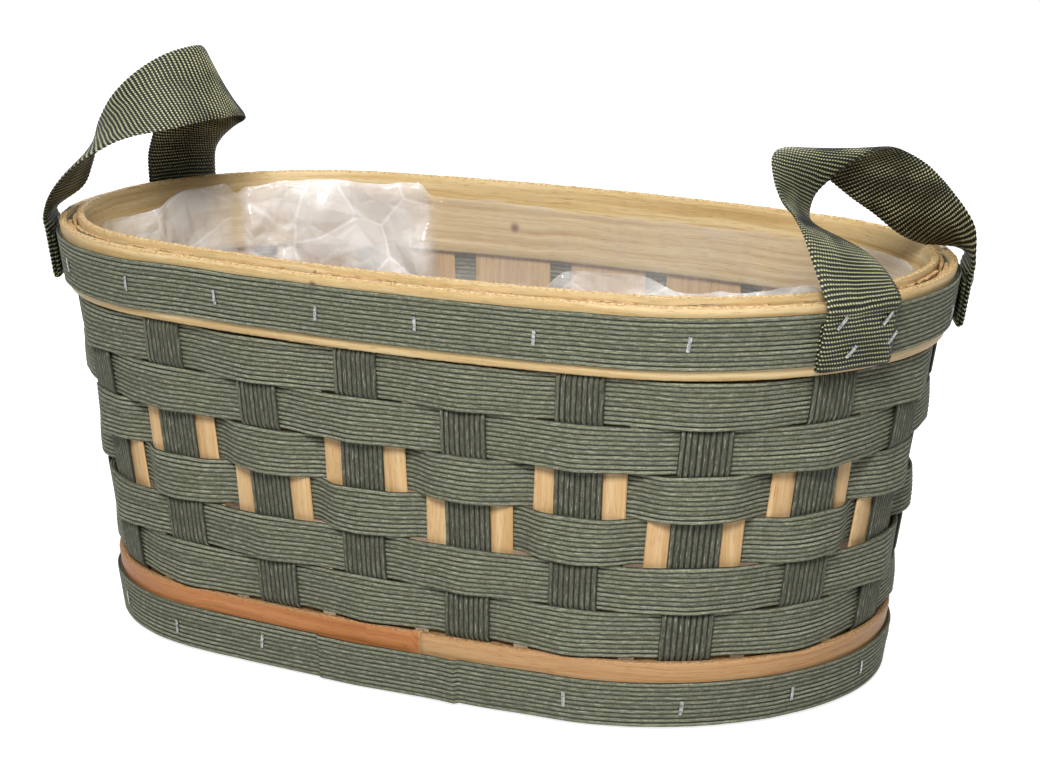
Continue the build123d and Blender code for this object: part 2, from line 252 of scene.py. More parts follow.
def paperCord(name, pitch, dark, middle, light):
    # twisted kraft paper cord, dyed grey-green and glued side by side: matt, streaked along the twist
    material, tree = newMaterial(name)
    pattern = addNode(tree, "UVMap").outputs["UV"]
    split = addNode(tree, "SeparateXYZ", {0: pattern})
    cordPlace = addNode(tree, "Math", {0: split.outputs["Y"], 1: pitch}, operation="DIVIDE")
    inCord = addNode(tree, "Math", {0: cordPlace}, operation="FRACT")
    fromMiddle = addNode(tree, "Math", {0: inCord, 1: 0.5}, operation="SUBTRACT")
    groove = addNode(tree, "Math", {0: fromMiddle}, operation="ABSOLUTE")
    cordNumber = addNode(tree, "Math", {0: cordPlace}, operation="FLOOR")
    # twist: streaks 3 mm long and 0.4 mm wide that climb across each cord
    lean = addNode(tree, "Mapping",
                   {"Vector": pattern, "Rotation": (0, 0, math.radians(28)), "Scale": (320, 2300, 1)})
    streak = addNode(tree, "TexNoise", {"Vector": lean, "Scale": 1.0, "Detail": 3, "Roughness": 0.6})
    # paper specks: 0.9 mm, coarser than the real ones so that they show
    grain = addNode(tree, "TexNoise", {"Vector": pattern, "Scale": 1100, "Detail": 3, "Roughness": 0.7})
    # each cord takes the dye a little differently, and changes every 70 mm or so along its length
    cordVector = addNode(tree, "CombineXYZ", {"X": split.outputs["X"], "Y": cordNumber})
    slow = addNode(tree, "Mapping", {"Vector": cordVector, "Scale": (14, 3.7, 1)})
    dye = addNode(tree, "TexNoise", {"Vector": slow, "Scale": 1.0, "Detail": 2})
    base = rampOf(tree, streak, [(0.3, dark), (0.52, middle), (0.72, light)])
    tone = rampOf(tree, dye, [(0.32, "#a3a39b"), (0.68, "#ffffff")])
    toned = blendColours(tree, 0.7, base, tone, "MULTIPLY")
    speck = rampOf(tree, grain, [(0.36, "#6c6d66"), (0.5, "#cacac4"), (0.66, "#ffffff")])
    specked = blendColours(tree, 0.55, toned, speck, "MULTIPLY")
    # loose pale fibres, 4 mm long, that lie across the cords
    across = addNode(tree, "Mapping",
                     {"Vector": pattern, "Rotation": (0, 0, math.radians(-40)), "Scale": (230, 2300, 1)})
    fibre = addNode(tree, "TexNoise", {"Vector": across, "Scale": 1.0, "Detail": 1})
    fibreMask = rampOf(tree, fibre, [(0.6, "#000000"), (0.76, "#a0a0a0")])
    specked = blendColours(tree, fibreMask, specked, linear("#c6c8b4"))
    # painted shade: the grooves between cords are darkened to near black, more deeply in some places,
    # following the dye noise
    paintedGrooveShade = addNode(tree, "MapRange", {"Value": groove, "From Min": 0.25, "From Max": 0.4})
    grooveShadeDepth = addNode(tree, "MapRange",
                    {"Value": dye, "From Min": 0.3, "From Max": 0.6, "To Min": 0.55, "To Max": 1.0})
    paintedGrooveShade = addNode(tree, "Math", {0: paintedGrooveShade, 1: grooveShadeDepth}, operation="MULTIPLY")
    withPaintedGrooveShade = blendColours(tree, paintedGrooveShade, specked, linear("#0e100a"))
    rise = addNode(tree, "Math", {0: grain, 1: 0.5, 2: streak}, operation="MULTIPLY_ADD")
    finishOf(tree, withPaintedGrooveShade, rise, distance=0.22 * mm, Roughness=0.72, Specular_IOR_Level=0.3)
    return material


def veneer(name, light, middle, dark, stain, knots=(), drift=None):
    # rotary-cut poplar and birch veneer: satin, straight grain, a few brown streaks and torn edges
    material, tree = newMaterial(name)
    pattern = addNode(tree, "UVMap").outputs["UV"]
    # grain lines about 110 mm long and 2.4 mm apart, which wander by up to 3 mm
    warp = addNode(tree, "TexNoise", {"Vector": pattern, "Scale": 22, "Detail": 2}).outputs["Color"]
    shift = addNode(tree, "VectorMath", {0: warp, 1: (0, 6 * mm, 0), 2: pattern}, operation="MULTIPLY_ADD")
    stretch = addNode(tree, "Mapping", {"Vector": shift, "Scale": (9, 420, 1)})
    grain = addNode(tree, "TexNoise", {"Vector": stretch, "Scale": 1.0, "Detail": 5, "Roughness": 0.62})
    # pores 6 mm long and 0.3 mm wide, and stains 140 mm long
    pores = addNode(tree, "Mapping", {"Vector": pattern, "Scale": (160, 3600, 1)})
    pore = addNode(tree, "TexNoise", {"Vector": pores, "Scale": 1.0, "Detail": 1})
    broad = addNode(tree, "Mapping", {"Vector": pattern, "Scale": (7, 60, 1)})
    patch = addNode(tree, "TexNoise", {"Vector": broad, "Scale": 1.0, "Detail": 2})
    colour = rampOf(tree, grain, [(0.3, dark), (0.5, middle), (0.68, light)])
    poreTone = rampOf(tree, pore, [(0.3, "#a8926e"), (0.42, "#ffffff")])
    colour = blendColours(tree, 0.45, colour, poreTone, "MULTIPLY")
    stainMask = rampOf(tree, patch, [(0.58, "#000000"), (0.78, "#8a8a8a")])
    colour = blendColours(tree, stainMask, colour, linear(stain))
    if drift:
        # the veneer darkens from one end of the hoop to the other: start share, girth, colour at the end
        start, length, endColour = drift
        run = addNode(tree, "SeparateXYZ", {0: pattern}).outputs["X"]
        run = addNode(tree, "Math", {0: run, 1: 1 / length, 2: -start}, operation="MULTIPLY_ADD")
        run = addNode(tree, "Math", {0: run}, operation="FRACT")
        colour = blendColours(tree, run, colour, linear(endColour), "MULTIPLY")
    # torn edges: fibres 1.4 mm apart
    torn = addNode(tree, "Attribute", attribute_name="torn").outputs["Fac"]
    fray = addNode(tree, "TexNoise", {"Vector": pattern, "Scale": 700, "Detail": 4, "Roughness": 0.7})
    frayTone = rampOf(tree, fray, [(0.36, "#7c4f22"), (0.47, dark), (0.6, light)])
    colour = blendColours(tree, torn, colour, frayTone)
    for along, across, size in knots:
        away = addNode(tree, "VectorMath", {0: pattern, 1: (along, across, 0)}, operation="DISTANCE")
        away = away.outputs["Value"]
        spot = addNode(tree, "MapRange", {"Value": away, "From Min": size, "From Max": size * 0.3,
                                          "To Min": 0, "To Max": 0.85})
        colour = blendColours(tree, spot, colour, linear("#5e2313"))
    rise = addNode(tree, "Math", {0: torn, 1: 1.6}, operation="MULTIPLY")
    rise = addNode(tree, "Math", {0: rise, 1: fray}, operation="MULTIPLY")
    rise = addNode(tree, "Math", {0: rise, 1: grain}, operation="ADD")
    finishOf(tree, colour, rise, distance=0.25 * mm, Roughness=0.55, Specular_IOR_Level=0.35)
    return material


webbing = {"ribPitch": 1.55 * mm, "loopPitch": 1.1 * mm}


def ribbedWebbing(name):
    # woven polypropylene: ribs across the strap, each a row of glossy olive loops over near-black weft; the
    # colour follows the relief, with painted highlights on the loop tops and painted shade between them
    material, tree = newMaterial(name)
    pattern = addNode(tree, "UVMap").outputs["UV"]
    # the ribs wander by up to half a millimetre
    sway = addNode(tree, "TexNoise", {"Vector": pattern, "Scale": 75, "Detail": 1}).outputs["Color"]
    pattern = addNode(tree, "VectorMath", {0: sway, 1: (1.6 * mm, 0.8 * mm, 0), 2: pattern},
                      operation="MULTIPLY_ADD")
    split = addNode(tree, "SeparateXYZ", {0: pattern})
    along, across = split.outputs["X"], split.outputs["Y"]
    rib = addNode(tree, "Math", {0: along, 1: 2 * math.pi / webbing["ribPitch"]}, operation="MULTIPLY")
    ribWave = addNode(tree, "Math", {0: rib}, operation="COSINE")
    # every second rib is shifted by half a loop
    shifted = addNode(tree, "Math", {0: along, 1: math.pi / webbing["ribPitch"]}, operation="MULTIPLY")
    bead = addNode(tree, "Math", {0: across, 1: 2 * math.pi / webbing["loopPitch"], 2: shifted},
                   operation="MULTIPLY_ADD")
    beadWave = addNode(tree, "Math", {0: bead}, operation="COSINE")
    mixWave = addNode(tree, "Math", {0: beadWave, 1: 0.5, 2: ribWave}, operation="MULTIPLY_ADD")
    # fuzz of the yarn, 1.1 mm
    fuzz = addNode(tree, "TexNoise", {"Vector": pattern, "Scale": 900, "Detail": 3})
    wave = addNode(tree, "Math", {0: fuzz, 1: 0.8, 2: mixWave}, operation="MULTIPLY_ADD")
    spread = addNode(tree, "MapRange", {"Value": wave, "From Min": -1.0, "From Max": 1.9})
    # painted highlight and shade: the tops of the loops are pale and the gaps between them near black
    colour = rampOf(tree, spread,
                    [(0.42, "#060703"), (0.56, "#22231a"), (0.72, "#6f7050"), (0.95, "#bdbd93")])
    finishOf(tree, colour, spread, distance=0.45 * mm, Roughness=0.5, Specular_IOR_Level=0.25)
    return material


def clearFilm(name):
    # thin polypropylene film: clear and glossy, with straight creases that catch the light
    material, tree = newMaterial(name)
    spot = addNode(tree, "TexCoord").outputs["Object"]
    # soft folds, 40 mm apart
    fold = addNode(tree, "TexNoise",
                   {"Vector": spot, "Scale": 24, "Detail": 3, "Roughness": 0.5, "Distortion": 0.6})
    # flat facets that meet in creases: 25 mm ones, and 10 mm ones between them
    facet = addNode(tree, "TexVoronoi", {"Vector": spot, "Scale": 40}, feature="DISTANCE_TO_EDGE")
    small = addNode(tree, "TexVoronoi", {"Vector": spot, "Scale": 100}, feature="DISTANCE_TO_EDGE")
    crumple = addNode(tree, "Attribute", attribute_name="crumple").outputs["Fac"]
    rise = addNode(tree, "Math", {0: small, 1: 0.35, 2: facet}, operation="MULTIPLY_ADD")
    rise = addNode(tree, "Math", {0: rise, 1: crumple}, operation="MULTIPLY")
    rise = addNode(tree, "Math", {0: fold, 1: 0.5, 2: rise}, operation="MULTIPLY_ADD")
    # painted highlight: the crease lines are made whiter and more opaque; the film's own haze follows the
    # soft folds, and what is seen at a slant is milkier
    line = addNode(tree, "MapRange",
                   {"Value": facet, "From Min": 0.035, "From Max": 0.0, "To Min": 0.0, "To Max": 0.6})
    haze = addNode(tree, "MapRange",
                   {"Value": fold, "From Min": 0.42, "From Max": 0.66, "To Min": 0.06, "To Max": 0.4})
    hazeAndCreaseHighlight = addNode(tree, "Math", {0: line, 1: haze, 2: haze}, operation="MULTIPLY_ADD")
    milkAndCreaseHighlight = addNode(tree, "Math", {0: hazeAndCreaseHighlight, 1: crumple}, operation="MULTIPLY")
    facing = addNode(tree, "LayerWeight", {"Blend": 0.3}).outputs["Facing"]
    alpha = addNode(tree, "Math", {0: facing, 1: 0.3, 2: milkAndCreaseHighlight}, operation="MULTIPLY_ADD")
    alpha = addNode(tree, "Math", {0: alpha, 1: 0.06}, operation="ADD", use_clamp=True)
    tint = rampOf(tree, crumple, [(0.0, "#dad8d4"), (1.0, "#f6f3f1")])
    finishOf(tree, tint, rise, distance=4.0 * mm, strength=0.9, Alpha=alpha, Roughness=0.11, IOR=1.49,
             Specular_IOR_Level=1.0, Coat_Weight=1.0, Coat_Roughness=0.06)
    return material


def brightSteel(name):
    # galvanised staple wire: bright, drawn lengthwise
    material, tree = newMaterial(name)
    spot = addNode(tree, "TexCoord").outputs["Object"]
    scuff = addNode(tree, "TexNoise", {"Vector": spot, "Scale": 1400, "Detail": 2})
    colour = rampOf(tree, scuff, [(0.35, "#656765"), (0.65, "#adaeab")])
    finishOf(tree, colour, scuff, distance=0.05 * mm, Metallic=1.0, Roughness=0.3)
    return material


def plyBoard(name):
    # poplar plywood: broad soft figure, 5 mm apart and 125 mm long
    material, tree = newMaterial(name)
    spot = addNode(tree, "TexCoord").outputs["Object"]
    stretch = addNode(tree, "Mapping", {"Vector": spot, "Scale": (8, 190, 60)})
    grain = addNode(tree, "TexNoise", {"Vector": stretch, "Scale": 1.0, "Detail": 4, "Distortion": 0.8})
    colour = rampOf(tree, grain, [(0.3, "#a67c48"), (0.5, "#c29a62"), (0.7, "#d4b07a")])
    finishOf(tree, colour, grain, distance=0.1 * mm, Roughness=0.6)
    return material


# corded tape
tape = {
    "thick": 1.6 * mm,
    "weaverCords": 10, "weaverWidth": 16.3 * mm,
    "stripCords": 9, "stripWidth": 17.2 * mm,
    "bandCords": 11, "bandWidth": 18.0 * mm,
    "frontPoints": 4, "backPoints": 2,  # points to a cord
}
cordPitch = tape["weaverWidth"] / tape["weaverCords"]


def tapeSection(across, cords, width, thick):
    # across runs round the tape's section: over the cords in front, back behind; gives (up, out)
    front, back = cords * tape["frontPoints"], cords * tape["backPoints"]
    step = round(across * (front + back))
    if step <= front:
        place, side = step / tape["frontPoints"], 1
        swell = (0.42, 0.9, 1.0, 0.9)[step % tape["frontPoints"]]  # groove, flank, crown, flank
    else:
        step = step - front
        place, side = cords - step / tape["backPoints"], -1
        swell = (0.6, 1.0)[step % tape["backPoints"]]
    if place in (0, cords):
        swell = 0
    return place * width / cords, side * swell * thick / 2


def makeTape(name, stepsAlong, cords, width, place, capped=True):
    # place(along, up, out) gives the point on the wall, and the length of the tape
    pointsAcross = cords * (tape["frontPoints"] + tape["backPoints"])
    sheet = flatSheet(name, stepsAlong, pointsAcross)
    length = place(0, 0, 0)[1]

    def lay(along, across):
        up, out = tapeSection(across, cords, width, tape["thick"])
        return place(along, up, out)[0], (along * length, up / width * cords * cordPitch)

    return layOut(sheet, lay, capped)


weave = {
    "frontOut": 2.9 * mm,  # middle of a weaver that passes over a strip
    "backOut": 1.0 * mm,  # and of one that passes under it
    "deepOut": -2.6 * mm,  # and of one behind a slat
    "overHalf": 9.6 * mm,  # half the length that lies over a strip
    "slatHalf": 16.7 * mm,  # half a slat's width, with room at its edge
    "crown": 1.1 * mm,  # how far a row bulges where it passes over
    "barrel": 0.6 * mm,  # the tape arches across its width there
    "lift": 2.6 * mm, "liftUnder": 0.15,  # a row's lower edge stands off, and less where it is under
    "sway": 0.5 * mm, "shiver": 0.25 * mm,  # slow and quick wander of a row
    "halfRow": 8.2 * mm,
    "steps": 340,
}


def weaverOut(row, share, height):
    # how far the tape's middle stands out, and how much it lies over a strip, from 0 to 1
    stakes = basket["stakes"]
    drift = stakeShare(round(share * stakes) % stakes, height) - round(share * stakes) % stakes / stakes
    place = (share - (drift - round(drift))) * stakes
    left = math.floor(place)
    spacing = girthAt(height) / stakes
    # rows and stakes with an odd sum have the weaver in front
    fromFront = (place - left if (row + left) % 2 else 1 - place + left) * spacing
    if row in basket["deepRows"]:
        far, level = spacing - weave["slatHalf"], weave["deepOut"]
    else:
        far, level = spacing - weave["overHalf"], weave["backOut"]
    part = smooth(weave["overHalf"], far, fromFront)
    over = 1 - smooth(0, weave["overHalf"] * 1.5, fromFront)
    return weave["frontOut"] + (level - weave["frontOut"]) * part, over


rowBoxes = [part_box("weaver_row_%d" % (row + 1)) for row in range(basket["rows"])]


def rowMiddle(row):
    low, high = rowBoxes[row]
    return (low[2] + high[2]) / 2


def makeWeaver(row):
    middle = rowMiddle(row)
    width = tape["weaverWidth"]
    length = girthAt(middle)

    def place(along, up, out):
        drop = weave["sway"] * wobble(along, row + 3, 3) + weave["shiver"] * wobble(along, row + 30, 9)
        height = middle - width / 2 + up + drop
        level, over = weaverOut(row, along, middle)
        level += weave["lift"] * (0.5 - up / width) * (weave["liftUnder"] + (1 - weave["liftUnder"]) * over)
        level += over * (weave["crown"] + weave["barrel"] * (1 - (2 * up / width - 1) ** 2))
        level += weave["shiver"] * wobble(along, row + 60, 12)
        return onWall(along, height, level + out), length

    return makeTape("weaver_%d" % (row + 1), weave["steps"], tape["weaverCords"], width, place, capped=False)


strips = {
    "bottom": 1.0 * mm,
    "below": 0.9 * mm, "uneven": 0.8 * mm,  # the top's distance from the hoop's top, and how much it differs
    "sway": 0.7 * mm, "swayWaves": 38,
    "bend": 1.5 * mm,  # half the height that a strip takes to pass over a weaver's edge
    "steps": 90,
}


def stripGoesOver(row, stake):
    return (row + stake) % 2 == 0 and row not in basket["deepRows"]


def stripOut(stake, height):
    # the strip lies on the slat, and over each weaver that passes between them
    low, high = weave["backOut"], weave["frontOut"] - 0.1 * mm
    middles = [rowMiddle(row) for row in range(basket["rows"])]
    edges = [(above + below) / 2 for above, below in zip(middles, middles[1:])]
    edges = [middles[0] + weave["halfRow"]] + edges + [middles[-1] - weave["halfRow"]]
    levels = [low] + [high if stripGoesOver(row, stake) else low for row in range(basket["rows"])] + [low]
    out = levels[0]
    for edge, above, below in zip(edges, levels, levels[1:]):
        out += (below - above) * (1 - smooth(edge - strips["bend"], edge + strips["bend"], height))
    return out


def makeStrip(stake):
    width = tape["stripWidth"]
    bottom = strips["bottom"]
    top = basket["hoopTop"] - strips["below"] - strips["uneven"] * random.random()
    sway = random.uniform(-1, 1) * strips["sway"]

    def place(along, up, out):
        height = bottom + (top - bottom) * along
        sideways = up - width / 2 + sway * math.sin(height * strips["swayWaves"])
        share = stakeShare(stake, height) + sideways / girthAt(height)
        return onWall(share, height, stripOut(stake, height) + out), top - bottom

    return makeTape("upright_strip_%02d" % (stake + 1), strips["steps"], tape["stripCords"], width, place)


bands = {
    "out": 6.0 * mm,  # middle of the tape
    "ripple": 0.12 * mm,
    "rimDown": 3.3 * mm, "rimDip": 0.9 * mm, "rimSway": 0.2 * mm, "rimSteps": 360,
    "footTop": 17.0 * mm, "footSway": 0.25 * mm, "footSteps": 720,
    "footCords": 10, "footWidth": 16.2 * mm,
}
# where the foot band's ends overlap, as shares of its length, and how far the outer end stands off and curls
footLap = {"start": 0.974, "end": 0.048, "step": 1.1 * mm, "curl": 0.6 * mm, "curlFrom": 0.036}


def lapOut(along):
    # the outer end lies over the inner one and lifts at its cut
    if footLap["end"] < along < footLap["start"]:
        return 0
    near = along if along < 0.5 else 0
    return footLap["step"] + footLap["curl"] * smooth(footLap["curlFrom"], footLap["end"], near)


def rimTapeTop(share):
    # the band dips towards the left end
    x = onWall(share, basket["hoopTop"], 0).x / basket["rimOval"][0]
    return (basket["hoopTop"] - bands["rimDown"] - bands["rimDip"] * smooth(0.35, 0.65, -x)
            + bands["rimSway"] * wobble(share, 5, 7))


def footTapeTop(share):
    return bands["footTop"] + bands["footSway"] * wobble(share, 8, 7)


def makeBand(name, top, width, cords, steps, lap=False):
    ripple = cords + top(0) * 900  # a seed of its own for each band

    def place(along, up, away):
        height = top(along) - width + up
        lift = lapOut(along % 1) if lap else 0
        out = bands["out"] + away + lift + bands["ripple"] * wobble(along, ripple, 14)
        return onWall(along, height, out), girthAt(top(0))

    return makeTape(name, steps, cords, width, place, capped=False)


# wood
def boardSection(across, high, thick):
    # section of a hoop or slat: outer face up, over the top edge, inner face down, under the bottom edge
    # each stop is the share of the way round, the share of the height and the share of the thickness
    stops = [(0.0, 0, 0), (0.06, 0.01, 0.32), (0.12, 0.03, 0.5), (0.4, 0.97, 0.5), (0.44, 0.99, 0.36),
             (0.5, 1, 0.0), (0.56, 0.99, -0.36), (0.6, 0.97, -0.5), (0.88, 0.03, -0.5), (0.94, 0.01, -0.32),
             (1.0, 0, 0)]
    for (start, upA, outA), (end, upB, outB) in zip(stops, stops[1:]):
        if across <= end + 1e-9:
            part = (across - start) / (end - start)
            return (upA + (upB - upA) * part) * high, (outA + (outB - outA) * part) * thick
    return 0, 0


footTop, footJoint = 24 * mm, 0.026  # the outer foot hoop's ends are butted at this share of the girth
hoops = {
    "points": 50,  # round the section
    "steps": 520,  # round the basket
    "edge": 0.04,  # share of the height that is torn, at the top and at the bottom
    "splinter": 0.2 * mm, "fray": 0.3 * mm,  # how far torn edges stand up, and out
    "bow": 0.18 * mm,
    "joint": 1.6 * mm,  # depth of the line between butted ends
    # CAD node, bottom, top, inner face, outer face, seed, raggedness, share where the ends are butted
    "rim_hoop_outside": ("rim_outer_hoop", 122.8 * mm, basket["hoopTop"], 2.0 * mm, 5.0 * mm, 11, 1.0, None),
    "rim_hoop_inside": ("rim_inner_hoop", 120 * mm, basket["rimTop"], -4.7 * mm, -1.7 * mm, 23, 1.0, None),
    "foot_hoop_outside": ("base_outer_hoop", 0.0, footTop, 2.0 * mm, 5.0 * mm, 37, 0.7, footJoint),
    "foot_hoop_inside": ("base_inner_hoop", 0.0, 12 * mm, -4.7 * mm, -1.7 * mm, 41, 0.5, None),
}


def tornEdges(piece, bottom, top):
    # marks the raw edges for the wood material
    mark = piece.data.attributes.new("torn", "FLOAT", "POINT")
    for vertex in piece.data.vertices:
        above = smooth(top - 0.9 * mm, top - 0.1 * mm, vertex.co.z)
        below = smooth(bottom + 0.8 * mm, bottom, vertex.co.z)
        mark.data[vertex.index].value = max(above, below * 0.8)


def makeHoop(name):
    node, bottom, top, inner, outer, seed, ragged, joint = hoops[name]
    thick, high = outer - inner, top - bottom
    middle = (inner + outer) / 2

    def place(along, across):
        up, out = boardSection(across, high, thick)
        length = along * girthAt(top)
        fine, fibre = ringNoise(along, 48, seed), ringNoise(along, 130, seed + 5)
        rough = hoops["splinter"] * ragged * (0.6 * fine + 0.7 * fibre)
        height = bottom + up
        if up > high * (1 - hoops["edge"]):
            height += rough
            out += hoops["fray"] * fibre
        elif up < high * hoops["edge"]:
            height -= rough * 0.7
        bow = hoops["bow"] * wobble(along, seed + 2, 6)
        if joint and abs(along - joint) < 1.1 / hoops["steps"]:
            out -= hoops["joint"]
        # the pattern's rows shift a little from face to face, so that the grain runs over the edge
        return onWall(along, height, middle + out + bow), (length, up + (0.5 - out / thick) * 6 * mm)

    hoop = layOut(flatSheet(name, hoops["steps"], hoops["points"]), place, capped=False)
    tornEdges(hoop, bottom, top)
    return hoop, node


slats = {
    "width": 33 * mm, "thick": 1.5 * mm, "bottom": 0.6 * mm, "below": 0.7 * mm,  # under the hoop's top
    "rows": 36,
    "ragged": (1.1 * mm, 0.5 * mm, 0.9 * mm),  # broad and fine unevenness of the torn top, and its most
}
# torn veneer ends that pack the gap between the rim hoops at the two round ends; each follows a stake
packing = {
    "after": (3, 4, 5, 6, 13, 14, 15, 16), "width": 25 * mm, "bottom": 131 * mm, "top": 146.4 * mm,
    "out": 1.8 * mm, "rows": 6,
}


def makeSlat(name, stake, width, bottom, top, outFace, rows):
    thick = slats["thick"]
    seed = stake * 3.1
    broad, fine, most = slats["ragged"]

    def place(along, across):
        side, out = boardSection(across, width, thick)
        ragged = broad * noise.noise(Vector((side * 900, seed, 0)))
        ragged += fine * noise.noise(Vector((side * 2600, seed, 4)))
        height = bottom + (top - bottom + min(ragged, most)) * along
        share = stakeShare(stake, height) + (side - width / 2) / girthAt(height)
        # each slat is cut from another place of the veneer
        pattern = (height + stake * 0.31, side + (0.5 - out / thick) * 4 * mm)
        return onWall(share, height, outFace + out - thick / 2), pattern

    slat = layOut(flatSheet(name, rows, hoops["points"]), place)
    tornEdges(slat, bottom, top + 0.2 * mm)
    return slat


# film liner
liner = {
    "top": 141 * mm, "bottom": 15.8 * mm, "corner": 3 * mm,  # the corner between wall and floor is rounded
    "out": -5.3 * mm, "thick": 0.12 * mm,
    "flat": (0.80, 0.20), "flatArea": 0.15,  # the bag slit open, in metres, less the bottom's cut corners
    "wallRows": 48, "floorRows": 14, "steps": 520,
    # parts of the edge, each with the shares over which it begins and ends
    "slackFold": ((0.583, 0.59), (0.684, 0.69)), "slackEdge": ((0.586, 0.592), (0.685, 0.69)),
    "leftPiece": ((0.69, 0.695), (0.75, 0.8)), "leftEdge": ((0.688, 0.694), (0.70, 0.78)),
    "nearEdge": ((0.068, 0.078), (0.20, 0.23)),
    "pleats": ((0.745, 0.03), (0.262, 0.022), (0.235, 0.012)),  # middle and half width, in the round ends
    "crumpled": 0.2,  # how crumpled the film is anywhere
}


def nearLean(share):
    return between(share, *liner["nearEdge"]) * (1 - 0.33 * smooth(0.10, 0.135, share))


def filmPull(share, height):
    # how far the film stands in from the wall, and how crumpled it is, from 0 to 1
    low = onWall(share, height, 0)
    pull = 1.4 * mm * (1 + noise.noise(low * 34))
    pull += 2.2 * mm * max(0, noise.noise(low * 19 + Vector((4, 1, 8))))
    near, second = noise.voronoi(low * 36)[0][:2]
    crumple = min(1, second - near)
    # the slack fold that stands off the far wall at the left
    inFold = between(share, *liner["slackFold"])
    pull += inFold * smooth(50 * mm, 110 * mm, height) * (3 * mm + 9 * mm * crumple)
    for middle, half in liner["pleats"]:
        near = max(0, 1 - abs(share - middle) / half)
        pull += near * smooth(80 * mm, 140 * mm, height) * 7 * mm
    # the near edge leans in to the right of the middle
    lean = nearLean(share)
    pull += lean * smooth(80 * mm, 150 * mm, height) * (20 * mm + 5 * mm * crumple)
    leftPiece = between(share, *liner["leftPiece"])
    pull += leftPiece * 3 * mm * crumple
    return pull, min(1, inFold + lean + 0.5 * leftPiece + liner["crumpled"])


def filmTop(share):
    top = liner["top"] + 1.5 * mm * wobble(share, 91, 4) + 0.8 * mm * wobble(share, 97, 15)
    top += 6.5 * mm * between(share, *liner["slackEdge"]) * (1 - 0.4 * smooth(0.64, 0.685, share))
    top += 10 * mm * nearLean(share)
    top += 5.5 * mm * between(share, *liner["leftEdge"])
    return top


def makeLiner():
    crumples = {}  # how crumpled the film is at each point, for its material
    rows = liner["wallRows"] + liner["floorRows"]
    corner = liner["corner"]
    endRadius = ovalAt(20 * mm)[2]

    def place(along, across):
        share = along % 1
        row = across * rows
        if row <= liner["wallRows"]:
            down = row / liner["wallRows"]
            height = filmTop(share) + (liner["bottom"] + corner - filmTop(share)) * down
            pull, crumple = filmPull(share, height)
            pull *= 1 - smooth(0.86, 1, down)
            point = onWall(share, height, liner["out"] - pull)
        else:
            inward = (row - liner["wallRows"]) / liner["floorRows"]
            height = liner["bottom"] + corner * (1 - smooth(0, 0.06, inward))
            depth = -liner["out"] + (endRadius - 8 * mm) * inward
            point = onWall(share, height, -depth)
            point.z += (0.8 * mm + 0.8 * mm * noise.noise(point * 40)) * smooth(0.02, 0.2, inward)
            crumple = liner["crumpled"]
        crumples[tuple(round(part, 7) for part in point)] = crumple
        return point, (along * liner["flat"][0], across * liner["flat"][1])

    film = layOut(flatSheet("film_liner", liner["steps"], rows), place, capped=False)
    # the hole that is left in the floor is closed
    bpy.context.view_layer.objects.active = film
    film.select_set(True)
    bpy.ops.object.mode_set(mode="EDIT")
    bpy.ops.mesh.select_mode(type="VERT")
    bpy.ops.mesh.select_all(action="DESELECT")
    bpy.ops.object.mode_set(mode="OBJECT")
    for vertex in film.data.vertices:
        vertex.select = vertex.co.z < 30 * mm
    bpy.ops.object.mode_set(mode="EDIT")
    bpy.ops.mesh.fill_holes(sides=0)
    bpy.ops.mesh.select_all(action="SELECT")
    bpy.ops.mesh.normals_make_consistent(inside=False)
    bpy.ops.object.mode_set(mode="OBJECT")
    mark = film.data.attributes.new("crumple", "FLOAT", "POINT")
    for vertex in film.data.vertices:
        key = tuple(round(part, 7) for part in vertex.co)
        mark.data[vertex.index].value = crumples.get(key, liner["crumpled"])
    wall = film.modifiers.new("film thickness", "SOLIDIFY")
    wall.thickness = liner["thick"]
    wall.offset = 0
    bpy.ops.object.modifier_apply(modifier=wall.name)
    film.select_set(False)
    return film


# webbing handles
handle = {
    "width": 30 * mm, "thick": 1.5 * mm,
    "tabOut": 10.1 * mm,  # outer face of the tab's outer layer, from the slats
    "tabBottom": 125.6 * mm, "foldTop": 141.5 * mm,
    "layerGap": 0.15 * mm,
    "stepsToRib": 4, "pointsAcross": 44,
    "ribRise": 0.12 * mm, "tooth": 0.18 * mm,  # of the ribs on the faces and at the edges
    "edgeFrom": 0.9, "edgeThin": 0.82,  # the webbing thins from this share of its half width
    "tabs": {"right": (0.201, 0.299), "left": (0.799, 0.706)},  # front and back, as shares of the girth
    "hinge": 165.9 * mm, "bend": (151 * mm, 170 * mm),  # the hinge's x and the bend's two heights; the script only makes two points of them, which nothing uses
}
